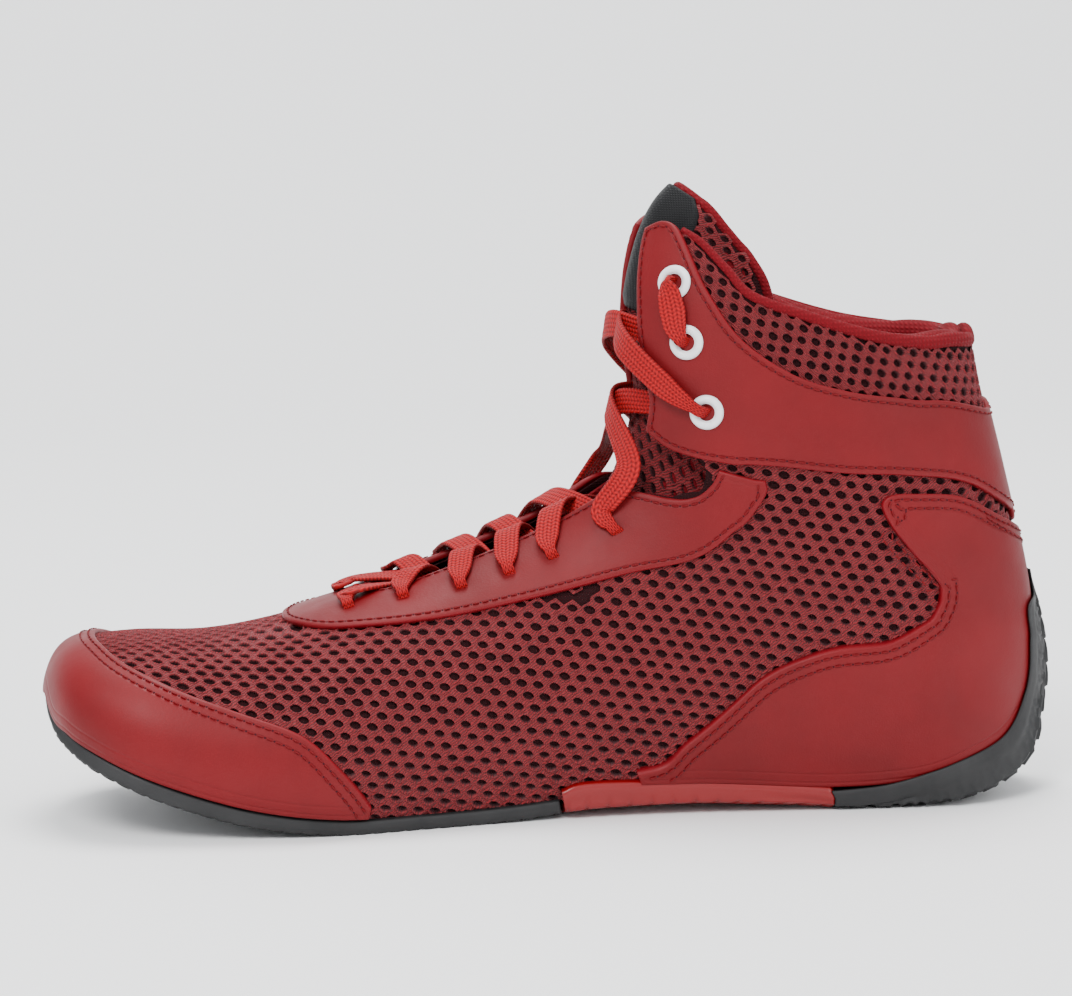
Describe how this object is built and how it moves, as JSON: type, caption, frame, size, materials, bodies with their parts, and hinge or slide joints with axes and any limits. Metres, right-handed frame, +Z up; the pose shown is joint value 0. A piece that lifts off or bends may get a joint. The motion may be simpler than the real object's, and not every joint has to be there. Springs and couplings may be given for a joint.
{
  "type": "boxing boot",
  "caption": "High-top laced boxing boot, right foot: mesh upper with coated leather overlays, padded tongue and collar, and a low rubber sole.",
  "frame": {"origin": "on the floor, half way along and half way across the boot", "axes": "+Z up, -X towards the toe, -Y towards the inner (arch) side of this right foot"},
  "size_m": [0.2965, 0.1056, 0.1802],
  "materials": {
    "rubber_black": "matte moulded rubber",
    "moulded_red": "moulded plastic, satin",
    "board": "pressed fibre board",
    "insole_fabric": "knitted cover on foam",
    "mesh_red": "open spacer mesh over a dark backing",
    "lining_red": "brushed knit",
    "leather_red": "coated synthetic leather with a fine grain",
    "foam": "open-cell foam",
    "eyelet_white": "white enamel",
    "washer_metal": "plain stamped steel",
    "label_black": "woven label, satin",
    "lace_red": "flat braid",
    "aglet_plastic": "heat-set film"
  },
  "bodies": {
    "boot": {"outsole_forefoot": "rubber_black", "outsole_heel": "rubber_black", "shank_bridge": "moulded_red", "insole_board": "board", "sockliner": "insole_fabric", "mesh_upper": "mesh_red", "upper_lining": "lining_red", "toe_puff": "board", "heel_counter": "board", "toe_cap": "leather_red", "lace_guard": "leather_red", "ankle_band": "leather_red", "heel_overlay": "leather_red", "collar_mesh": "mesh_red", "collar_foam": "foam", "collar_lining": "lining_red", "eyelets": "eyelet_white", "eyelet_washers": "washer_metal", "lace": "lace_red", "aglets": "aglet_plastic"},
    "tongue": {"tongue_mesh": "mesh_red", "tongue_foam": "foam", "tongue_lining": "lining_red", "tongue_label": "label_black"}
  },
  "joints": [
    {"name": "tongue_lift", "type": "hinge", "parent": "boot", "child": "tongue", "pos_m": [-0.0555, 0, 0.053], "axis": [0, 1, 0], "range_deg": [0, 12], "stiffness_Nm_per_rad": 1, "springref_deg": -5.73}
  ]
}
